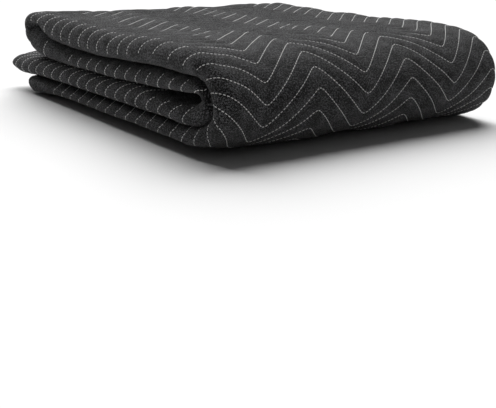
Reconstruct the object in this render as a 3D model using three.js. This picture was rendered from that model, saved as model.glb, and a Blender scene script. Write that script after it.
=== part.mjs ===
// Moving pad: a quilted cloth folded in quarters across its width and in quarters along its length.
// Millimetres, +Z up, front fold towards -Y, free ends towards +Y, origin at the middle of the base.
import * as THREE from 'three';
import { mergeVertices } from 'three/addons/utils/BufferGeometryUtils.js';

const INCH = 25.4;

// Folded size
const WIDTH = 18 * INCH;              // a quarter of the 72 inch cloth
const DEPTH = 536;                    // front fold to the longest free end

// Quilting: parallel zigzag lines that run across the strip
const LINE_PITCH = 1 * INCH;          // from one zigzag line to the next, along the cloth
const ZIGZAG_PERIOD = 6 * INCH;       // from one forward point to the next, across the cloth
const ZIGZAG_RISE = 63;               // from a forward point back to a rear point
const POINT_X = -167;                 // the forward point nearest the left edge
const FIRST_LINE = 8.5;               // where the first zigzag line lies, along the cloth
const PUFF = 1.5;                     // height of the cloth between two lines
const STITCH_DIP = 0.7;               // depth of the cloth at a line

// Rounded long edges of the folded strip
const EDGE_ROUND = 16;                // how far in the left edge starts to round
const HEM_INSET = [4, 8, 11];         // right edge: the last fold and the two hems under it
const HEM_GROOVE = 13;                // how far in the grooves between them reach

// The strip seen from the side, from the inner free end to the lower free end.
// y is measured back from the front fold, z up from the base, and left is how far that edge stands out.
const ROUTE = [
  { y: 536, z: 42, thick: 21, left: -2 },
  { y: 512, z: 42, thick: 24, left: 1 },
  { y: 440, z: 43, thick: 25, left: 2 },
  { y: 360, z: 44, thick: 26, left: 1 },
  { y: 260, z: 45, thick: 26, left: 0 },
  { y: 170, z: 47, thick: 26, left: 1 },
  { y: 105, z: 48, thick: 25, left: 1 },
  { y: 74, z: 47, thick: 23, left: 0 },
  { y: 54, z: 49, thick: 21, left: 1 },
  { y: 41, z: 55.5, thick: 19, left: 2 },
  { y: 37, z: 64, thick: 18, left: 2 },
  { y: 42, z: 72.5, thick: 17, left: 2 },
  { y: 56, z: 77, thick: 16, left: 1 },
  { y: 80, z: 78, thick: 18, left: -1 },
  { y: 130, z: 77.5, thick: 22, left: -2 },
  { y: 200, z: 74, thick: 24, left: -2 },
  { y: 290, z: 71.5, thick: 24, left: -3 },
  { y: 350, z: 70, thick: 22, left: -3 },
  { y: 400, z: 68, thick: 20, left: -3 },
  { y: 446, z: 66, thick: 18, left: -3 },
  { y: 472, z: 70.5, thick: 16, left: -2 },
  { y: 484, z: 84, thick: 15, left: -1 },
  { y: 478, z: 97.5, thick: 15, left: 0 },
  { y: 455, z: 105, thick: 16, left: 1 },
  { y: 400, z: 102, thick: 21, left: 2 },
  { y: 340, z: 101, thick: 25, left: 2 },
  { y: 280, z: 100.5, thick: 25, left: 2 },
  { y: 225, z: 100, thick: 25, left: 2 },
  { y: 170, z: 103.5, thick: 25, left: 3 },
  { y: 125, z: 105.5, thick: 25, left: 4 },
  { y: 86, z: 105, thick: 24, left: 4 },
  { y: 66, z: 103.5, thick: 24, left: 3 },
  { y: 48, z: 99.5, thick: 24, left: 2 },
  { y: 33, z: 92, thick: 24, left: 1 },
  { y: 21, z: 81, thick: 24, left: 1 },
  { y: 13.5, z: 68, thick: 24, left: 0 },
  { y: 12, z: 54, thick: 24, left: 0 },
  { y: 16, z: 40, thick: 24, left: 1 },
  { y: 26, z: 28, thick: 24, left: 2 },
  { y: 40, z: 19, thick: 25, left: 3 },
  { y: 60, z: 14.5, thick: 27, left: 4 },
  { y: 84, z: 13.5, thick: 28, left: 4 },
  { y: 160, z: 13.5, thick: 28, left: 4 },
  { y: 260, z: 13, thick: 27, left: 3 },
  { y: 380, z: 13, thick: 27, left: 2 },
  { y: 456, z: 13, thick: 26, left: 1 },
  { y: 474, z: 12.5, thick: 24, left: -3 },
];
const REAR_BEND = 21;                 // the row of ROUTE at the crown of the rear fold
const BASE_START = 41;                // the row of ROUTE where the strip reaches the base

const PATH_SAMPLES = 1200;
const TIGHT_RADIUS = 34;
const RISE_FADE = 160;                // over this length the zigzag of the mesh rows grows or dies away

const smooth = (value) => THREE.MathUtils.smoothstep(value, 0, 1);

/** The strip's middle line as closely spaced samples, each with its place, normal, thickness and edge. */
function samplePath() {
  const line = new THREE.CatmullRomCurve3(ROUTE.map((row) => new THREE.Vector3(0, row.y - DEPTH / 2, row.z)));
  const sizes = new THREE.CatmullRomCurve3(ROUTE.map((row) => new THREE.Vector3(row.thick, row.left, 0)));
  const samples = [];
  let length = 0;
  for (let i = 0; i <= PATH_SAMPLES; i += 1) {
    const t = i / PATH_SAMPLES;
    const place = line.getPoint(t);
    const tangent = line.getTangent(t);
    const size = sizes.getPoint(t);
    const normal = new THREE.Vector3(0, tangent.z, -tangent.y);
    const last = samples[i - 1];
    if (last) {
      const step = place.distanceTo(last.place);
      const turn = Math.asin(THREE.MathUtils.clamp(last.normal.dot(tangent), -1, 1));
      last.bend = -turn / step;
      length += step * (1 + Math.max(0, last.bend) * size.x / 2);
    }
    samples.push({ place, normal, thick: size.x, left: size.y, row: t * (ROUTE.length - 1), length, bend: 0 });
  }
  return samples;
}

const PATH = samplePath();
const CLOTH_LENGTH = PATH[PATH_SAMPLES].length;
const REAR_START = PATH.find((sample) => sample.row >= REAR_BEND).length;
const FRONT_END = PATH.find((sample) => sample.row >= BASE_START).length;

/** The path at a distance along the cloth's outer face. */
function pathAt(distance) {
  const wanted = THREE.MathUtils.clamp(distance, 0, CLOTH_LENGTH);
  let low = 0;
  let high = PATH_SAMPLES;
  while (high - low > 1) {
    const middle = (low + high) >> 1;
    if (PATH[middle].length <= wanted) low = middle;
    else high = middle;
  }
  const a = PATH[low];
  const b = PATH[high];
  const mix = (wanted - a.length) / (b.length - a.length);
  return {
    place: a.place.clone().lerp(b.place, mix),
    normal: a.normal.clone().lerp(b.normal, mix).normalize(),
    thick: THREE.MathUtils.lerp(a.thick, b.thick, mix),
    left: THREE.MathUtils.lerp(a.left, b.left, mix),
    bend: a.bend,
  };
}

/** Rows of the mesh: on every line and crest outside, closer in the tight folds, wider on hidden layers. */
function makeStations() {
  const quarter = LINE_PITCH / 4;
  const stations = [{ distance: 0, crest: 0 }];
  for (let j = 0; FIRST_LINE + j * quarter < CLOTH_LENGTH - quarter; j += 1) {
    const distance = FIRST_LINE + j * quarter;
    const outside = distance > REAR_START && distance < FRONT_END;
    const tight = Math.abs(pathAt(distance).bend) > 1 / TIGHT_RADIUS;
    if (j % 4 === 0 || tight || (outside && j % 2 === 0)) {
      stations.push({ distance, crest: outside && !tight ? (j % 4) / 2 : 0.5 });
    }
  }
  stations.push({ distance: CLOTH_LENGTH, crest: 0 });
  return stations;
}

/** Points round the strip's section: across in mm, through as a share of half the thickness. */
function makeRing() {
  const ring = [];
  const step = ZIGZAG_PERIOD / 6;
  const reach = WIDTH / 2 - EDGE_ROUND;
  for (let x = POINT_X - 2 * step; x < reach + 2; x += step) {
    ring.push({ x, through: 1, outer: true });
  }
  const plies = [{ top: 1, bottom: 0 }, { top: 0, bottom: -0.5 }, { top: -0.5, bottom: -1 }];
  plies.forEach((ply, i) => {
    ring.push({ x: WIDTH / 2 - HEM_INSET[i], through: (ply.top + ply.bottom) / 2, outer: false });
    const x = WIDTH / 2 - (i < 2 ? HEM_GROOVE : EDGE_ROUND);
    ring.push({ x, through: ply.bottom, outer: false });
  });
  const inner = 5;
  for (let i = 1; i <= inner; i += 1) {
    ring.push({ x: reach - (2 * reach * i) / inner, through: -1, outer: false });
  }
  const turns = 6;
  for (let i = 1; i < turns; i += 1) {
    const angle = (Math.PI * i) / turns;
    ring.push({ x: -reach - EDGE_ROUND * Math.sin(angle), through: -Math.cos(angle), outer: false });
  }
  return ring;
}

/** 0 on a rear point of the zigzag, 1 on a forward point. */
function zigzag(x) {
  const phase = THREE.MathUtils.euclideanModulo((x - POINT_X) / ZIGZAG_PERIOD, 1);
  return Math.abs(1 - 2 * phase);
}

/** How strongly the rows follow the zigzag: not in the folded inside, fully on the outside. */
function zigzagShare(distance) {
  return smooth((distance - REAR_START - 30) / RISE_FADE) * smooth((FRONT_END + 60 - distance) / RISE_FADE);
}

/** One point of the folded strip. share is 1 on the skin and 0 at the middle of a free end. */
function foldedPoint(point, station, share) {
  const follow = point.outer ? zigzagShare(station.distance) : 0;
  const path = pathAt(station.distance + ZIGZAG_RISE * zigzag(point.x) * follow);
  const nearLeft = smooth((-point.x - WIDTH / 4) / (WIDTH / 4));
  const across = (point.x - path.left * nearLeft) * share;
  const raised = point.outer ? follow * THREE.MathUtils.lerp(-STITCH_DIP, PUFF, station.crest) : 0;
  const through = (point.through * path.thick / 2 + raised) * share;
  const place = path.place.clone().addScaledVector(path.normal, through);
  return new THREE.Vector3(across, place.y, Math.max(place.z, 0));
}

/** Each square of the skin is split along its shorter diagonal, so that the quilted ridges run true. */
function turnDiagonals(geometry, squares) {
  const { position } = geometry.attributes;
  const corner = (i) => new THREE.Vector3().fromBufferAttribute(position, i);
  for (let square = 0; square < squares; square += 1) {
    const [a, b, d] = [0, 1, 2].map((i) => geometry.index.getX(6 * square + i));
    const c = geometry.index.getX(6 * square + 4);
    if (corner(a).distanceTo(corner(c)) < corner(b).distanceTo(corner(d))) {
      [a, b, c, a, c, d].forEach((vertex, i) => geometry.index.setX(6 * square + i, vertex));
    }
  }
}

/** The whole pad: a closed tube with flat ends, its skin carried round the folds. */
function makePadGeometry() {
  const ring = makeRing();
  const stations = makeStations();
  const rows = stations.length - 1;
  const tube = new THREE.CylinderGeometry(1, 1, rows, ring.length, rows);
  const position = tube.attributes.position;
  for (let i = 0; i < position.count; i += 1) {
    const x = position.getX(i);
    const z = position.getZ(i);
    const turn = THREE.MathUtils.euclideanModulo(Math.atan2(x, z) / (2 * Math.PI), 1);
    const point = ring[Math.round(turn * ring.length) % ring.length];
    const station = stations[Math.round(rows / 2 - position.getY(i))];
    const share = Math.round(Math.hypot(x, z));
    position.setXYZ(i, ...foldedPoint(point, station, share));
  }
  turnDiagonals(tube, ring.length * rows);
  tube.deleteAttribute('normal');
  tube.deleteAttribute('uv');
  const pad = mergeVertices(tube, 1e-3);
  pad.computeVertexNormals();
  return pad;
}

/** The base is set level with the ground, and the section centred over the origin. */
function centre(geometry) {
  geometry.computeBoundingBox();
  const box = geometry.boundingBox;
  geometry.translate(-(box.min.x + box.max.x) / 2, -(box.min.y + box.max.y) / 2, -box.min.z);
  return geometry;
}

const cloth = new THREE.MeshStandardMaterial({ color: 0x2b2b2d, roughness: 0.95, metalness: 0 });
const pad = new THREE.Mesh(centre(makePadGeometry()), cloth);
pad.name = 'pad';

const model = new THREE.Group();
model.add(pad);

export default model;
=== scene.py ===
"""A quilted moving pad, folded in quarters each way, lying on a pale floor.

Metres, +Z up. The rounded front fold faces -Y, the free ends face +Y and the long fold is on the left, -X.
"""

import math

import bmesh
import bpy
import numpy as np
from bpy.props import FloatProperty, FloatVectorProperty, PointerProperty
from mathutils import Matrix, Vector


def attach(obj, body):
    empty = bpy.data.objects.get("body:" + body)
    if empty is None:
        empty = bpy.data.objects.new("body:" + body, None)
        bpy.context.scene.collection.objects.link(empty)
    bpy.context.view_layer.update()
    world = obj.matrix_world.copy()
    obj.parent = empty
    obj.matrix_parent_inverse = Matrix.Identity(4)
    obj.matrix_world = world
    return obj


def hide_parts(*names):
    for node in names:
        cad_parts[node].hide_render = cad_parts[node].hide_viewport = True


bl_info = {
    "name": "Folded Moving Pad",
    "version": (1, 0, 0),
    "blender": (4, 5, 0),
    "location": "View3D > Sidebar > Pad",
    "description": "Builds a folded quilted moving pad with its zigzag quilting thread",
    "category": "Add Mesh",
}

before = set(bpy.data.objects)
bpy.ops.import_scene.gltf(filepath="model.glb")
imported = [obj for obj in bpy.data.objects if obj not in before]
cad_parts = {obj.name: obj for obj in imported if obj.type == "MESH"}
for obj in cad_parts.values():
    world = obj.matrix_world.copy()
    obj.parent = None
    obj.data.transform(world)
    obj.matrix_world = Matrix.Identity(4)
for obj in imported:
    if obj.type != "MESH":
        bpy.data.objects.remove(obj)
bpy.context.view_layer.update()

MM = 0.001

# The strip's middle line seen from the side, in mm, from the inner free end to the lower free end: back from the
# front fold, up from the floor, thickness, how far the left edge stands out, then what the left edge adds to the
# first three.
ROUTE = (
    (536, 42, 21, -1, 0, -7, 3), (512, 42, 24, 1, 0, -6.5, 2), (440, 43, 25, 2, 0, -4, 0),
    (360, 44, 26, 1, 0, -4, 0), (260, 45, 26, 0, 0, -4.5, -1), (170, 47, 26, 1, 0, -4, 1),
    (105, 48, 25, 1, 0, -6, -2), (74, 47, 23, 0, 0, -5.5, 1), (54, 49, 21, -2, 0, -5, 4),
    (41, 55.5, 19, -4, -1, -2.5, 5), (37, 64, 18, -5, -3, 0, 1), (42, 72.5, 17, -4, -1, 0, -2),
    (56, 77, 16, -2, 0, -1.5, 0), (80, 78, 18, -1, 0, -3.5, 0), (130, 77.5, 22, -2, 0, -5, 0),
    (200, 74, 24, -2, 0, -5.5, -2), (290, 71.5, 24, -3, 0, -6, -2), (350, 70, 22, -3, 0, -5, 1),
    (400, 68, 20, -3, 0, -1.5, 7), (446, 66, 18, -2, 1, 9, 22), (472, 70.5, 16, -1, -5, 10, 25),
    (484, 84, 15, 0, -9, 4, 25), (478, 98, 15, 1, -5, 2, 10), (455, 106, 16, 1, -1, 2.5, 0),
    (400, 103, 21, 2, 0, -3.5, 11), (340, 101.5, 25, 2, 0, -4, 10), (280, 100.5, 25, 2, 0, -4, 8),
    (225, 100, 25, 2, 0, -3, 6), (170, 103.5, 25, 3, 0, -3, 6), (125, 105.5, 25, 4, 0, -3, 6),
    (86, 105, 24, 4, 0, -3.5, 7), (66, 103.5, 24, 3, 0, -3, 6), (48, 99.5, 24, 1, 0, -1, 3),
    (33, 92, 24, -2, 0, 0, 0), (21, 81, 24, -4, 0, 0, 0), (13.5, 68, 24, -5, 0, 0, 0),
    (12, 54, 24, -5, 0, 0.5, 0), (16, 40, 24, -4, 0, 2, -1), (26, 28, 24, -2, 0, 4, -3),
    (40, 19, 25, 1, 0, 5, -5), (60, 14.5, 27, 3, 0, 5.5, -6.5), (84, 13.5, 28, 4, 0, 6, -8),
    (160, 13.5, 28, 4, 0, 5.5, -9), (260, 13, 27, 3, 0, 4, -9.5), (380, 13, 27, 2, 0, 3, -9),
    (456, 13, 26, 2, 2, 0, -1), (474, 12.5, 24, 0, 4, 0.5, 2),
)
# Rows of the route: the loop of the inner fold, the rear fold, the foremost place of the front fold, the lowest layer
INNER_BEND = 10
REAR_BEND = 21
FRONT_NOSE = 36
BASE_START = 41
PATH_SAMPLES = 2400

# The flat sheet: rows of faces from one stitched line to the next, the lines begun before the free end because their
# points reach past it, and the gaps that count as none when the sheet is cut and joined
ROWS_PER_LINE = 6
LINES_BEFORE = 3
CUT_GAP = 1e-6
MERGE_GAP = 1e-5

# The stitches of one line: where the first lies and how far each strays, in steps, and the bare cloth at both ends
LINE_SAMPLES = 1400
STITCH_SEED = 5
STITCH_START = (0.2, 0.8)
STITCH_JITTER = 0.04
END_MARGIN = 0.006

# One stitch, in half lengths and radii: its two rings, how far it lies proud and how far its ends dip
RING_PLACE = 0.8
RING_RADIUS = 0.85
STITCH_PROUD = 0.75
STITCH_DIP = 0.9

YARNS_PER_METRE = 900


class PadSizes(bpy.types.PropertyGroup):
    """Sizes and colours of the folded pad."""

    width: FloatProperty(name="Folded width", description="Width of the folded strip",
                         default=0.4572, unit="LENGTH")
    line_pitch: FloatProperty(name="Line pitch", description="From one zigzag line to the next, along the cloth",
                              default=0.0254, unit="LENGTH")
    zigzag_period: FloatProperty(name="Zigzag period", description="From one forward point to the next",
                                 default=0.1524, unit="LENGTH")
    zigzag_rise: FloatProperty(name="Zigzag rise", description="From a forward point back to a rear point",
                               default=0.063, unit="LENGTH")
    puff: FloatProperty(name="Puff", description="How far the cloth swells between two lines",
                        default=0.0010, unit="LENGTH")
    stitch_length: FloatProperty(name="Stitch length", description="Thread that shows in one stitch",
                                 default=0.0030, unit="LENGTH")
    stitch_step: FloatProperty(name="Stitch step", description="From one stitch to the next",
                               default=0.0045, unit="LENGTH")
    thread_radius: FloatProperty(name="Thread radius", description="Half the thickness of the thread",
                                 default=0.00051, unit="LENGTH")
    cloth_colour: FloatVectorProperty(name="Cloth colour", description="Colour of the woven face",
                                      default=(0.0052, 0.0052, 0.0054), subtype="COLOR", min=0, max=1)
    thread_colour: FloatVectorProperty(name="Thread colour", description="Colour of the quilting thread",
                                       default=(0.96, 0.96, 0.95), subtype="COLOR", min=0, max=1)


def sizes():
    """The sizes that the panel shows."""
    return bpy.context.scene.pad_sizes


def smooth_step(value):
    """0 below 0, 1 above 1 and an even curve between."""
    value = np.clip(value, 0.0, 1.0)
    return value * value * (3 - 2 * value)


def fade_in(value, start, length):
    """0 up to the start, and 1 from a length after it."""
    return smooth_step((value - start) / length)


def fade_out(value, end, length):
    """1 up to a length before the end, and 0 from the end on."""
    return smooth_step((end - value) / length)


def spline(rows, count):
    """Points on a centripetal Catmull-Rom curve through the rows, with the row number of each."""
    rows = np.array(rows, float)
    ends = np.concatenate([[2 * rows[0] - rows[1]], rows, [2 * rows[-1] - rows[-2]]])
    row = np.linspace(0, len(rows) - 1, count + 1)
    start = np.minimum(row.astype(int), len(rows) - 2)
    share = (row - start)[:, None]
    p0, p1, p2, p3 = (ends[start + i] for i in range(4))
    gap = [np.linalg.norm(b - a, axis=1)[:, None] ** 0.5 for a, b in ((p0, p1), (p1, p2), (p2, p3))]
    gap[1] = np.where(gap[1] < 1e-4, 1.0, gap[1])
    gap[0] = np.where(gap[0] < 1e-4, gap[1], gap[0])
    gap[2] = np.where(gap[2] < 1e-4, gap[1], gap[2])
    first = ((p1 - p0) / gap[0] - (p2 - p0) / (gap[0] + gap[1]) + (p2 - p1) / gap[1]) * gap[1]
    last = ((p2 - p1) / gap[1] - (p3 - p1) / (gap[1] + gap[2]) + (p3 - p2) / gap[2]) * gap[1]
    cubic = 2 * p1 - 2 * p2 + first + last
    square = -3 * p1 + 3 * p2 - 2 * first - last
    return ((cubic * share + square) * share + first) * share + p1, row


class FoldedStrip:
    """Carries a point of the flat strip to its place in the folded pad.

    A pair of numbers is where a change starts, or where it has faded out, and the length that it takes. Such places
    are from the strip's middle across it, and from the foremost place of the front fold along it.
    """

    # The section: the rounded left fold, and at the right the last fold and two hems under it
    EDGE_ROUND = 0.016
    HALF_THICK = 0.012
    HEM_INSET = (0.004, 0.008, 0.011)
    HEM_GROOVE = 0.013
    INNER_POINTS = 13
    EDGE_POINTS = 17
    PLY_POINTS = 9
    OUTER_COLUMNS = 36

    # The stitched lines: a forward point, the first line, how sharp the points are, and the ring columns over which
    # the zigzag dies away at the inner face
    POINT_X = -0.167
    FIRST_LINE = 0.0085
    CRISP = 0.985
    LEFT_FADE = 4
    RIGHT_FADE = 8

    # The zigzag runs flatter at the front left corner
    FLATTER = 0.36
    FLATTER_ACROSS = (-0.172, 0.04)
    FLATTER_FROM = (-0.22, 0.14)
    FLATTER_TO = (0.015, 0.10)

    # The lines are pulled to the right at the top of the front, and to the left below it
    PULL_RIGHT = 0.0045
    PULL_RIGHT_TO = (0.01, 0.05)
    PULL_LEFT = 0.009
    PULL_LEFT_FROM = (0.015, 0.05)
    PULL_FROM = (-0.22, 0.10)
    PULL_TO = (0.20, 0.10)
    PULL_ACROSS_FROM = (-0.235, 0.05)
    PULL_ACROSS_TO = (0.02, 0.15)

    # The padding between the lines: its crest, how narrow its troughs are, what is left of it on the inner face, and
    # how much looser the top is
    PUFF_CREST = 0.62
    PUFF_POWER = 2.6
    INNER_PUFF = 0.3
    LOOSER = 1.1
    LOOSER_RISE = 0.03
    LOOSER_TO = (-0.05, 0.07)

    # Slow unevenness, as a sum of waves. The hidden places keep a share of it, and the whole of it shows from a length
    # after the rear fold to a length before the lowest layer
    SWELL_SEED = 11
    SWELL_WAVES = 14
    SWELL_HEIGHT = 0.00028
    SWELL_LENGTH = 0.07
    SWELL_SPREAD = 0.11
    SWELL_TURN = 9.0
    SWELL_PHASE = 6.3
    HIDDEN_SWELL = 0.35
    SHOWN_RISE = 0.03
    SHOWN_FALL = 0.05

    # Small creases: place across, place along, reach and height, then each set of rays: number, curl and weight
    PLEATS = ((-0.245, -0.045, 0.038, 0.0009), (-0.235, 0.045, 0.040, 0.0007), (0.215, 0.05, 0.045, 0.0006))
    PLEAT_RAYS = ((9, 60, 1.0), (17, -45, 0.5))
    PLEAT_START = 0.02

    # Where the shape leaves the route: the left edge, the top's right side, both free ends and the underside. The
    # lower free end is squared, and the underside pressed flat, from a length before the end or before the lowest layer
    CENTRE = (0.004, 0.0008)
    EDGE_FROM = 0.170
    EDGE_FULL = 0.006
    RIGHT_LIFT = 0.003
    RIGHT_LIFT_FROM = (0.07, 0.14)
    RIGHT_LIFT_RISE = 0.05
    RIGHT_LIFT_TO = (-0.02, 0.06)
    END_ROUND = 0.011
    END_THIN = 0.72
    END_SQUARE = 0.55
    END_SQUARE_FROM = (0.09, 0.06)
    BASE_PRESS = 0.0010
    BASE_PRESS_FROM = (0.03, 0.05)

    def __init__(self, values):
        self.sizes = values
        self.depth = ROUTE[0][0] * MM
        self._sample_path()
        self._make_ring()
        self.wave_table = np.random.RandomState(self.SWELL_SEED).uniform(-1, 1, (self.SWELL_WAVES, 4))

    def _sample_path(self):
        """The route as closely spaced points, with the distance along the cloth's outer face at each."""
        place, row = spline([station[:2] for station in ROUTE], PATH_SAMPLES)
        size, _ = spline([station[2:4] for station in ROUTE], PATH_SAMPLES)
        edge, _ = spline([station[4:] for station in ROUTE], PATH_SAMPLES)
        self.path = place * MM - np.array([self.depth / 2, 0])
        self.thick, self.left = size.T * MM
        self.edge = edge * MM
        tangent = np.gradient(self.path, axis=0)
        tangent /= np.linalg.norm(tangent, axis=1)[:, None]
        self.normal = np.stack([tangent[:, 1], -tangent[:, 0]], 1)
        turn = tangent[:-1, 0] * tangent[1:, 1] - tangent[:-1, 1] * tangent[1:, 0]
        step = np.linalg.norm(np.diff(self.path, axis=0), axis=1)
        outer = step + np.maximum(turn, 0) * self.thick[:-1] / 2
        self.along = np.concatenate([[0], np.cumsum(outer)])
        self.length = self.along[-1]
        self.bend, self.rear, self.nose, self.base = (
            np.interp(station, row, self.along) for station in (INNER_BEND, REAR_BEND, FRONT_NOSE, BASE_START))

    def _make_ring(self):
        """Columns round the strip's section, from the middle of its inner face and round the left edge.

        Each has its place across and through the strip, then the way out across and through it.
        """
        half = self.sizes.width / 2
        reach = half - self.EDGE_ROUND
        column = self.sizes.zigzag_period / self.OUTER_COLUMNS
        inner = np.linspace(0, reach, self.INNER_POINTS)[:-1]
        angles = np.linspace(0, math.pi, self.EDGE_POINTS)[:-1]
        first = self.POINT_X - column * math.floor((self.POINT_X + reach) / column)
        parts = [
            [(-x, -1.0, 0.0, -1.0) for x in inner],
            [(-reach - self.EDGE_ROUND * math.sin(a), -math.cos(a), -math.sin(a), -math.cos(a)) for a in angles],
            [(x, 1.0, 0.0, 1.0) for x in np.arange(first, reach, column)],
            self._right_edge(half, reach),
            [(x, -1.0, 0.0, -1.0) for x in inner[::-1]],
        ]
        starts = np.cumsum([0] + [len(part) for part in parts])
        self.ring = np.array(sum(parts, []))
        self.left_start, self.outer_start, self.right_start, self.inner_start = starts[1:5]
        across, through = self.ring[:, 0], self.ring[:, 1] * self.HALF_THICK
        arc = np.concatenate([[0], np.cumsum(np.hypot(np.diff(across), np.diff(through)))])
        self.around = arc - arc[self.outer_start] + across[self.outer_start]
        self.columns = len(self.ring) - 1

    def _right_edge(self, half, reach):
        """The last fold and the two hems under it, as three rounded ridges."""
        plies = ((1.0, 0.0), (0.0, -0.5), (-0.5, -1.0))
        points = []
        for number, (top, bottom) in enumerate(plies):
            tip = half - self.HEM_INSET[number]
            start = reach if number == 0 else half - self.HEM_GROOVE
            end = reach if number == 2 else half - self.HEM_GROOVE
            for share in np.linspace(0, 1, self.PLY_POINTS)[(1 if number == 0 else 0):-1]:
                angle = math.pi * share
                root = start + (end - start) * share
                points.append((root + (tip - root) * math.sin(angle),
                               (top + bottom) / 2 + (top - bottom) / 2 * math.cos(angle),
                               math.sin(angle), math.cos(angle)))
        return points

    def around_at(self, column):
        """Distance round the section at a ring column, which is the place across on the outer face."""
        return np.interp(column, np.arange(len(self.around)), self.around)

    def zigzag(self, column, along):
        """0 on a rear point of the zigzag, 1 on a forward point. It dies away on the hidden inner face."""
        around = self.pattern_place(self.around_at(column), along)
        phase = (around - self.POINT_X) / self.sizes.zigzag_period
        wave = np.arcsin(self.CRISP * np.cos(2 * np.pi * phase)) / math.asin(self.CRISP)
        down = along - self.nose
        flatter = fade_out(around, *self.FLATTER_ACROSS) * fade_in(down, *self.FLATTER_FROM)
        flatter = flatter * fade_out(down, *self.FLATTER_TO)
        wave = wave + self.FLATTER * flatter * (1 - wave)
        inner_left = fade_in(column, self.left_start - self.LEFT_FADE, self.LEFT_FADE)
        inner_right = fade_out(column, self.inner_start, self.RIGHT_FADE)
        return (0.5 + 0.5 * wave) * inner_left * inner_right

    def pattern_place(self, around, along):
        """The place that the stitched pattern is read at, where the cloth is pulled to one side."""
        down = along - self.nose
        pull = self.PULL_RIGHT * fade_out(down, *self.PULL_RIGHT_TO)
        pull = pull - self.PULL_LEFT * fade_in(down, *self.PULL_LEFT_FROM)
        fade = fade_in(down, *self.PULL_FROM) * fade_out(down, *self.PULL_TO)
        across = fade_out(around, *self.PULL_ACROSS_TO) * fade_in(around, *self.PULL_ACROSS_FROM)
        return around - pull * fade * across

    def line_phase(self, column, along):
        """Whole numbers on the stitched lines, halves on the crests between them."""
        return (along - self.FIRST_LINE - self.sizes.zigzag_rise * self.zigzag(column, along)) / self.sizes.line_pitch

    def on_line(self, column, start):
        """How far along the cloth a zigzag line that starts at a distance has come, at each column."""
        along = start + 0.5 * self.sizes.zigzag_rise
        for _ in range(4):
            along = start + self.sizes.zigzag_rise * self.zigzag(column, along)
        return along

    def swell(self, x, along):
        """Slow unevenness of the padding."""
        total = np.zeros_like(x)
        for across, down, phase, size in self.wave_table:
            wavelength = self.SWELL_LENGTH + self.SWELL_SPREAD * abs(size)
            total += np.sin((x * across + along * down) * self.SWELL_TURN / wavelength + self.SWELL_PHASE * phase)
        return total * self.SWELL_HEIGHT

    def pleats(self, column, along):
        """Small creases that run out from three places at the front, where the strip is turned over."""
        around = self.around_at(column)
        total = 0
        for centre, from_nose, reach, height in self.PLEATS:
            across, down = around - centre, along - self.nose - from_nose
            distance = np.hypot(across, down)
            turn = np.arctan2(down, across)
            ridge = sum(weight * np.sin(rays * turn + curl * distance) for rays, curl, weight in self.PLEAT_RAYS)
            start = np.minimum(distance / self.PLEAT_START, 1)
            total = total + height * ridge * start * np.exp(-(distance / reach) ** 2)
        return total

    def on_top(self, along, rise, end, length):
        """1 on the top layer, from the rear fold to a place near the front fold's foremost place."""
        return fade_in(along, self.rear, rise) * fade_out(along, self.nose + end, length)

    def puff(self, column, along, x, out_n):
        """How far the padding stands out, or is drawn in on the stitched lines."""
        between = np.abs(2 * np.mod(self.line_phase(column, along), 1.0) - 1)
        loose = 1.0 + self.LOOSER * self.on_top(along, self.LOOSER_RISE, *self.LOOSER_TO)
        loose = np.where(out_n > 0.99, loose, 1.0)
        puff = self.sizes.puff * loose * (self.PUFF_CREST - between ** self.PUFF_POWER)
        inner = (out_n < -0.99)
        puff = np.where(inner, puff * self.INNER_PUFF, puff)
        shown = fade_in(along, self.rear, self.SHOWN_RISE) * fade_out(along, self.base, self.SHOWN_FALL)
        uneven = self.HIDDEN_SWELL + (1 - self.HIDDEN_SWELL) * shown
        puff = puff + self.swell(x, along) * np.where(inner, 0, uneven)
        press_from, press_length = self.BASE_PRESS_FROM
        on_base = fade_in(along, self.base - press_from, press_length) * (out_n > 0)
        return puff - on_base * self.BASE_PRESS + self.pleats(column, along)

    def place(self, column, along):
        """Points of the folded surface, for arrays of ring columns and distances along the cloth."""
        column, along = np.broadcast_arrays(np.asarray(column, float), np.asarray(along, float))
        index = np.arange(len(self.ring))
        x, through, out_x, out_n = (np.interp(column, index, self.ring[:, i]) for i in range(4))
        y, z = (np.interp(along, self.along, self.path[:, i]) for i in range(2))
        normal_y, normal_z = (np.interp(along, self.along, self.normal[:, i]) for i in range(2))
        edge_y, edge_z, edge_thick = (np.interp(along, self.along, self.edge[:, i]) for i in range(3))
        half = self.sizes.width / 2
        at_edge = fade_out(x, -self.EDGE_FROM, half - self.EDGE_FULL - self.EDGE_FROM)
        y = y + edge_y * at_edge
        z = z + edge_z * at_edge
        thick = np.interp(along, self.along, self.thick) + edge_thick * at_edge
        lifted = self.on_top(along, self.RIGHT_LIFT_RISE, *self.RIGHT_LIFT_TO)
        z = z + self.RIGHT_LIFT * lifted * fade_in(x, *self.RIGHT_LIFT_FROM)
        square_from, square_length = self.END_SQUARE_FROM
        square = self.END_SQUARE * fade_in(along, self.length - square_from, square_length)
        squared = np.sign(through) * np.abs(through) ** (1 - square)
        through = np.where(x < self.EDGE_ROUND - half, squared, through)
        to_end = np.clip(np.minimum(along, self.length - along) / self.END_ROUND, 0, 1)
        thick = thick * (self.END_THIN + (1 - self.END_THIN) * np.sqrt(1 - (1 - to_end) ** 2))
        puff = self.puff(column, along, x, out_n)
        near_left = fade_out(x, -half / 2, half / 2)
        x = x - np.interp(along, self.along, self.left) * near_left + out_x * puff
        offset = through * thick / 2 + out_n * puff
        y = y + normal_y * offset
        z = z + normal_z * offset
        return np.stack([x + self.CENTRE[0], y + self.CENTRE[1], np.maximum(z, 0.0)], -1)


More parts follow.
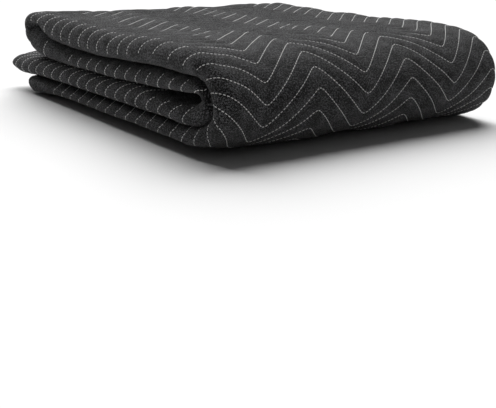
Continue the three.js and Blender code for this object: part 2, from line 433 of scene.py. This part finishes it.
def new_object(name, bm):
    """A mesh object from a bmesh, linked and at the origin."""
    mesh = bpy.data.meshes.new(name)
    bm.to_mesh(mesh)
    bm.free()
    mesh.shade_smooth()
    obj = bpy.data.objects.new(name, mesh)
    bpy.context.scene.collection.objects.link(obj)
    return obj


def vertex_array(bm):
    """The vertices' places as an array."""
    return np.array([v.co for v in bm.verts])


def set_vertices(bm, places):
    """Moves every vertex to its place in the array."""
    for vertex, place in zip(bm.verts, places):
        vertex.co = place


def flat_sheet(strip):
    """A grid whose X is the ring column and whose Y is the distance along the cloth, cut straight at both ends.

    Its rows follow the stitched lines. It ends one column past the ring, where it is joined to its first column.
    """
    columns = strip.columns + 1
    row_step = strip.sizes.line_pitch / ROWS_PER_LINE
    before = LINES_BEFORE * strip.sizes.line_pitch
    rows = math.ceil((strip.length + before) / row_step) + 2
    bm = bmesh.new()
    bmesh.ops.create_grid(bm, x_segments=columns, y_segments=rows, size=0.5)
    flat = vertex_array(bm)
    column = np.round((flat[:, 0] + 0.5) * columns)
    start = np.round((flat[:, 1] + 0.5) * rows) * row_step - before + strip.FIRST_LINE
    along = strip.on_line(np.mod(column, columns), start)
    set_vertices(bm, np.stack([column, along, np.zeros_like(along)], 1))
    for cut, outward in ((0.0, -1), (strip.length, 1)):
        everything = bm.verts[:] + bm.edges[:] + bm.faces[:]
        bmesh.ops.bisect_plane(bm, geom=everything, plane_co=(0, cut, 0), plane_no=(0, outward, 0),
                               clear_outer=True, dist=CUT_GAP)
    return bm


def make_cloth():
    """The folded cloth: the flat sheet wrapped into the strip and folded."""
    strip = FoldedStrip(sizes())
    bm = flat_sheet(strip)
    flat = vertex_array(bm)
    uv = bm.loops.layers.uv.new("cloth")
    around = np.append(strip.around, strip.around[-1] + strip.around[1] - strip.around[0])
    across = np.interp(flat[:, 0], np.arange(len(around)), around)
    bm.verts.index_update()
    for face in bm.faces:
        for loop in face.loops:
            loop[uv].uv = (across[loop.vert.index], flat[loop.vert.index, 1])
    wrapped = np.where(flat[:, 0] > strip.columns + 1 - 1e-6, 0, flat[:, 0])
    last = np.maximum(wrapped - strip.columns, 0)
    places = strip.place(np.minimum(wrapped, strip.columns), flat[:, 1])
    first_column = strip.place(np.zeros(len(flat)), flat[:, 1])
    set_vertices(bm, places * (1 - last[:, None]) + first_column * last[:, None])
    bmesh.ops.remove_doubles(bm, verts=bm.verts[:], dist=MERGE_GAP)
    ends = bmesh.ops.holes_fill(bm, edges=[edge for edge in bm.edges if edge.is_boundary], sides=0)
    for face in ends["faces"]:
        for loop in face.loops:
            loop[uv].uv = (loop.vert.co.x, loop.vert.co.z)
    bmesh.ops.recalc_face_normals(bm, faces=bm.faces[:])
    return new_object("quilted_cloth", bm)


def stitch_template():
    """One stitch as a small spindle along X, from a sphere of few faces."""
    bm = bmesh.new()
    bmesh.ops.create_uvsphere(bm, u_segments=6, v_segments=3, radius=1.0)
    bmesh.ops.rotate(bm, verts=bm.verts[:], matrix=Matrix.Rotation(math.pi / 2, 3, "Y"))
    for vertex in bm.verts:
        radius = math.hypot(vertex.co.y, vertex.co.z)
        if 0.1 < abs(vertex.co.x) < 0.9:
            vertex.co.x = math.copysign(RING_PLACE, vertex.co.x)
            vertex.co.y /= radius / RING_RADIUS
            vertex.co.z /= radius / RING_RADIUS
    return new_object("quilting_thread", bm)


def stitch_centres(strip):
    """Each stitch that shows: its line's length so far, ring columns and distances along, then its own middle."""
    step = strip.sizes.stitch_step
    random = np.random.RandomState(STITCH_SEED)
    found = []
    lines = int((strip.length + strip.sizes.zigzag_rise) / strip.sizes.line_pitch) + 1
    column = np.linspace(strip.left_start, strip.inner_start, LINE_SAMPLES)
    for number in range(-LINES_BEFORE, lines):
        along = strip.on_line(column, strip.FIRST_LINE + number * strip.sizes.line_pitch)
        places = strip.place(column, np.clip(along, 0, strip.length))
        run = np.concatenate([[0], np.cumsum(np.linalg.norm(np.diff(places, axis=0), axis=1))])
        middles = np.arange(step * random.uniform(*STITCH_START), run[-1] - step, step)
        middles += random.uniform(-STITCH_JITTER, STITCH_JITTER, len(middles)) * step
        at_column = np.interp(middles, run, column)
        at_along = np.interp(middles, run, along)
        inside = (at_along > END_MARGIN) & (at_along < strip.length - END_MARGIN)
        shows = stitch_shows(strip, at_column, at_along)
        for middle in middles[inside & shows]:
            found.append((run, column, along, middle))
    return found


def near(along, place, before, after):
    """True from a length before a place to a length after it."""
    return (along > place - before) & (along < place + after)


def stitch_shows(strip, column, along):
    """Stitches between the layers are left out, and those that the folds of the left edge swallow."""
    edge = column - strip.left_start
    left_side = column < strip.outer_start + 3
    rear_roll = near(along, strip.rear, 0.065, 0.045)
    outside = (along > strip.rear - 0.03) | (along < 0.09)
    outside = outside & ~(rear_roll & (column < strip.outer_start + 1))
    on_left = left_side & ~rear_roll
    on_right = (column > strip.right_start - 3) & (column < strip.right_start + 8)

    # The lower half of the top layer's left edge, and the undersides of the two middle layers
    under_top = 5.0 + 2.2 * fade_in(along, strip.nose - 0.28, 0.10)
    hidden = (along > strip.rear) & (along < strip.nose - 0.05) & (edge < under_top)
    hidden |= (along > strip.bend + 0.01) & (along < strip.rear) & (edge < 4)
    # The rear of the third layer, under the roll, and the lower free end
    hidden |= near(along, strip.rear, 0.15, -0.085) & left_side
    hidden |= (along > strip.length - 0.065) & left_side
    # The loop of the inner fold
    hidden |= near(along, strip.bend, 0.11, 0.04) & (edge > 13) & left_side
    hidden |= near(along, strip.bend, 0.02, 0.006) & left_side
    return (outside | on_left | on_right) & ~hidden


def surface_frame(strip, column, along):
    """Places on the surface and its outward normals, from a short step each way."""
    side_step, front_step = 0.3, 0.001
    places = strip.place(column, along)
    side = strip.place(column + side_step, along) - strip.place(column - side_step, along)
    front = strip.place(column, along + front_step) - strip.place(column, along - front_step)
    normal = np.cross(front, side)
    normal /= np.linalg.norm(normal, axis=-1)[..., None] + 1e-12
    return places, normal


def make_thread():
    """Every stitch that shows, bent to the cloth under it."""
    strip = FoldedStrip(sizes())
    stitches = stitch_centres(strip)
    thread = stitch_template()
    shape = np.array([v.co for v in thread.data.vertices])
    copies = thread.modifiers.new("stitches", "ARRAY")
    copies.count = len(stitches)
    copies.relative_offset_displace = (1.1, 0, 0)
    bpy.context.view_layer.update()
    evaluated = thread.evaluated_get(bpy.context.evaluated_depsgraph_get())
    mesh = bpy.data.meshes.new_from_object(evaluated)
    thread.modifiers.clear()
    thread.data = mesh
    ahead = shape[:, 0] * strip.sizes.stitch_length / 2
    radius = strip.sizes.thread_radius
    spots = [(np.interp(middle + ahead, run, column), np.interp(middle + ahead, run, along))
             for run, column, along, middle in stitches]
    at_column, at_along = np.array(spots).transpose(1, 0, 2)
    base, normal = surface_frame(strip, at_column, at_along)
    ends = base[:, np.argmax(shape[:, 0])] - base[:, np.argmin(shape[:, 0])]
    ends /= np.linalg.norm(ends, axis=1)[:, None]
    side = np.cross(normal, ends[:, None, :])
    side /= np.linalg.norm(side, axis=2)[..., None] + 1e-12
    proud = radius * (STITCH_PROUD - STITCH_DIP * shape[:, 0] ** 2)
    result = (base + side * (shape[:, 1] * radius)[None, :, None]
              + normal * (shape[:, 2] * radius + proud)[None, :, None])
    result[..., 2] = np.maximum(result[..., 2], 0.0)
    mesh.vertices.foreach_set("co", result.reshape(-1).astype(np.float32))
    mesh.update()
    mesh.shade_smooth()
    return thread


def add_node(tree, kind, **values):
    """A node with its inputs set by name."""
    node = tree.nodes.new(kind)
    for name, value in values.items():
        if name in node.inputs:
            node.inputs[name].default_value = value
        else:
            setattr(node, name, value)
    return node


def add_math(tree, operation, *values):
    """The result of a Math node whose inputs are numbers or other nodes' outputs."""
    node = add_node(tree, "ShaderNodeMath", operation=operation)
    for number, value in enumerate(values):
        if isinstance(value, (int, float)):
            node.inputs[number].default_value = value
        else:
            tree.links.new(value, node.inputs[number])
    return node.outputs[0]


def add_noise(tree, vector, **values):
    """The value of a Noise node that reads the given places."""
    node = add_node(tree, "ShaderNodeTexNoise", **values)
    tree.links.new(vector, node.inputs["Vector"])
    return node.outputs["Fac"]


def two_tones(tree, value, low, high):
    """A colour that runs from the low tone to the high one. Each is the value where it is reached and a colour."""
    ramp = add_node(tree, "ShaderNodeValToRGB")
    for element, (position, colour) in zip(ramp.color_ramp.elements, (low, high)):
        element.position = position
        element.color = (*colour, 1)
    tree.links.new(value, ramp.inputs[0])
    return ramp.outputs[0]


def weave_group():
    """Woven face: a fine plain weave with uneven yarns. Puts out a height and a lightness."""
    group = bpy.data.node_groups.new("Woven face", "ShaderNodeTree")
    interface = group.interface
    interface.new_socket("Vector", in_out="INPUT", socket_type="NodeSocketVector")
    pitch = interface.new_socket("Yarns per metre", in_out="INPUT", socket_type="NodeSocketFloat")
    pitch.default_value = YARNS_PER_METRE
    interface.new_socket("Height", in_out="OUTPUT", socket_type="NodeSocketFloat")
    interface.new_socket("Lightness", in_out="OUTPUT", socket_type="NodeSocketFloat")
    enter = add_node(group, "NodeGroupInput")
    leave = add_node(group, "NodeGroupOutput")
    link = group.links.new
    where = enter.outputs["Vector"]
    scaled = add_node(group, "ShaderNodeVectorMath", operation="SCALE")
    link(where, scaled.inputs[0])
    link(enter.outputs["Yarns per metre"], scaled.inputs["Scale"])
    parts = add_node(group, "ShaderNodeSeparateXYZ")
    link(scaled.outputs[0], parts.inputs[0])
    waves = [add_math(group, "SINE", add_math(group, "MULTIPLY", parts.outputs[axis], math.pi)) for axis in "XY"]
    weave = add_math(group, "MULTIPLY", *waves)
    crossing = add_math(group, "ABSOLUTE", weave)
    fuzz = add_noise(group, where, Scale=330.0, Detail=4.0, Roughness=0.7)
    link(add_math(group, "MULTIPLY_ADD", crossing, 0.8, fuzz), leave.inputs["Height"])
    cloud = add_noise(group, where, Scale=60.0, Detail=4.0, Roughness=0.6)
    fleck = add_noise(group, where, Scale=540.0, Detail=2.0, Roughness=0.7)
    mottle = add_math(group, "MULTIPLY_ADD", cloud, 0.32, fleck)
    link(add_math(group, "MULTIPLY_ADD", weave, 0.05, mottle), leave.inputs["Lightness"])
    return group


def new_material(name, roughness):
    """A material with nothing but a Principled shader, and that shader."""
    material = bpy.data.materials.new(name)
    material.use_nodes = True
    tree = material.node_tree
    tree.nodes.clear()
    out = add_node(tree, "ShaderNodeOutputMaterial")
    shader = add_node(tree, "ShaderNodeBsdfPrincipled", Roughness=roughness)
    tree.links.new(shader.outputs[0], out.inputs["Surface"])
    return material, shader


def cloth_material():
    """Near black woven cloth with a dull bloom at low angles."""
    material, shader = new_material("Quilted cloth", 0.9)
    shader.inputs["Sheen Weight"].default_value = 0.15
    shader.inputs["Sheen Roughness"].default_value = 0.45
    shader.inputs["Specular IOR Level"].default_value = 0.14
    tree = material.node_tree
    link = tree.links.new
    uv = add_node(tree, "ShaderNodeUVMap", uv_map="cloth")
    weave = add_node(tree, "ShaderNodeGroup", node_tree=weave_group())
    weave.inputs["Yarns per metre"].default_value = YARNS_PER_METRE
    link(uv.outputs[0], weave.inputs["Vector"])
    dark = np.array(sizes().cloth_colour)
    colour = two_tones(tree, weave.outputs["Lightness"], (0.645, dark * 0.05), (0.76, dark * 23.0))
    link(colour, shader.inputs["Base Color"])
    bump = add_node(tree, "ShaderNodeBump", Strength=1.0, Distance=0.0006)
    link(weave.outputs["Height"], bump.inputs["Height"])
    link(bump.outputs[0], shader.inputs["Normal"])
    return material


def thread_material():
    """White spun thread with a little soiling."""
    material, shader = new_material("Quilting thread", 0.75)
    tree = material.node_tree
    where = add_node(tree, "ShaderNodeTexCoord")
    soiling = add_noise(tree, where.outputs["Object"], Scale=300.0, Detail=2.0)
    pale = np.array(sizes().thread_colour)
    tree.links.new(two_tones(tree, soiling, (0.3, pale * 0.8), (0.65, pale)), shader.inputs["Base Color"])
    return material


def floor_material():
    """Plain pale floor."""
    material, shader = new_material("Pale floor", 0.9)
    shader.inputs["Base Color"].default_value = (0.77, 0.77, 0.77, 1)
    return material


class PAD_OT_cloth(bpy.types.Operator):
    """Build the folded quilted cloth."""

    bl_idname = "pad.cloth"
    bl_label = "Quilted cloth"

    def execute(self, context):
        cloth = make_cloth()
        cloth.data.materials.append(cloth_material())
        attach(cloth, "root")
        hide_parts("pad")
        return {"FINISHED"}


class PAD_OT_thread(bpy.types.Operator):
    """Sew the quilting thread."""

    bl_idname = "pad.thread"
    bl_label = "Quilting thread"

    def execute(self, context):
        thread = make_thread()
        thread.data.materials.clear()
        thread.data.materials.append(thread_material())
        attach(thread, "root")
        return {"FINISHED"}


# The camera, placed from the photograph's vanishing points and the zigzag's known steps
CAMERA_TURN = math.radians(-37.62)
CAMERA_PITCH = math.radians(17.99)
CAMERA_ROLL = math.radians(1.87)
CAMERA_PLACE = Vector((-0.7293, -0.9766, 0.2440))
FOCAL_PIXELS = 864.0
IMAGE_WIDTH = 496.0
SENSOR_WIDTH = 36.0

# The light: one wide sun, its way towards, strength and width in degrees, then the fill and the white backdrop
SUN_TOWARDS = (0.42, 0.80, 1.0)
SUN_STRENGTH = 5.2
SUN_WIDTH = 60
FILL_STRENGTH = 0.07
BACKDROP_STRENGTH = 1.0

FLOOR_SIZE = 12.0
FLOOR_DROP = 0.0005


def make_camera():
    """The photograph's view."""
    data = bpy.data.cameras.new("camera")
    data.sensor_width = SENSOR_WIDTH
    data.lens = FOCAL_PIXELS / IMAGE_WIDTH * SENSOR_WIDTH
    camera = bpy.data.objects.new("camera", data)
    bpy.context.scene.collection.objects.link(camera)
    back = Vector((math.sin(CAMERA_TURN) * math.cos(CAMERA_PITCH),
                   -math.cos(CAMERA_TURN) * math.cos(CAMERA_PITCH), math.sin(CAMERA_PITCH)))
    level = back.to_track_quat("Z", "Y").to_matrix().to_4x4()
    camera.matrix_world = Matrix.Translation(CAMERA_PLACE) @ level @ Matrix.Rotation(CAMERA_ROLL, 4, "Z")
    bpy.context.scene.camera = camera


def make_sun():
    """A wide soft light from high behind the right side."""
    data = bpy.data.lights.new("overhead", "SUN")
    data.energy = SUN_STRENGTH
    data.angle = math.radians(SUN_WIDTH)
    light = bpy.data.objects.new("overhead", data)
    bpy.context.scene.collection.objects.link(light)
    light.rotation_euler = Vector(SUN_TOWARDS).to_track_quat("Z", "Y").to_euler()


def make_world():
    """White all round to the eye, and a dim even fill as a light."""
    world = bpy.data.worlds.new("studio")
    world.use_nodes = True
    tree = world.node_tree
    tree.nodes.clear()
    link = tree.links.new
    out = add_node(tree, "ShaderNodeOutputWorld")
    fill = add_node(tree, "ShaderNodeBackground", Color=(1, 1, 1, 1), Strength=FILL_STRENGTH)
    backdrop = add_node(tree, "ShaderNodeBackground", Color=(1, 1, 1, 1), Strength=BACKDROP_STRENGTH)
    path = add_node(tree, "ShaderNodeLightPath")
    mix = add_node(tree, "ShaderNodeMixShader")
    link(path.outputs["Is Camera Ray"], mix.inputs[0])
    link(fill.outputs[0], mix.inputs[1])
    link(backdrop.outputs[0], mix.inputs[2])
    link(mix.outputs[0], out.inputs["Surface"])
    return world


class PAD_OT_stage(bpy.types.Operator):
    """Lay the floor and set the camera and lights."""

    bl_idname = "pad.stage"
    bl_label = "Floor, camera and lights"

    def execute(self, context):
        bm = bmesh.new()
        bmesh.ops.create_grid(bm, x_segments=1, y_segments=1, size=FLOOR_SIZE)
        bmesh.ops.translate(bm, verts=bm.verts[:], vec=(0, 0, -FLOOR_DROP))
        floor = new_object("floor", bm)
        floor.data.materials.append(floor_material())
        make_camera()
        make_sun()
        context.scene.world = make_world()
        context.scene.view_settings.view_transform = "Standard"
        return {"FINISHED"}


class PAD_PT_panel(bpy.types.Panel):
    """The pad's sizes and the buttons that build it."""

    bl_label = "Folded moving pad"
    bl_space_type = "VIEW_3D"
    bl_region_type = "UI"
    bl_category = "Pad"

    def draw(self, context):
        for name in PadSizes.__annotations__:
            self.layout.prop(context.scene.pad_sizes, name)
        for operator in (PAD_OT_stage, PAD_OT_cloth, PAD_OT_thread):
            self.layout.operator(operator.bl_idname)


CLASSES = (PadSizes, PAD_OT_stage, PAD_OT_cloth, PAD_OT_thread, PAD_PT_panel)


def register():
    for cls in CLASSES:
        bpy.utils.register_class(cls)
    bpy.types.Scene.pad_sizes = PointerProperty(type=PadSizes)


def unregister():
    del bpy.types.Scene.pad_sizes
    for cls in reversed(CLASSES):
        bpy.utils.unregister_class(cls)


def main():
    """Builds the stage and the pad."""
    register()
    bpy.ops.pad.stage()
    bpy.ops.pad.cloth()
    bpy.ops.pad.thread()


if __name__ == "__main__":
    main()
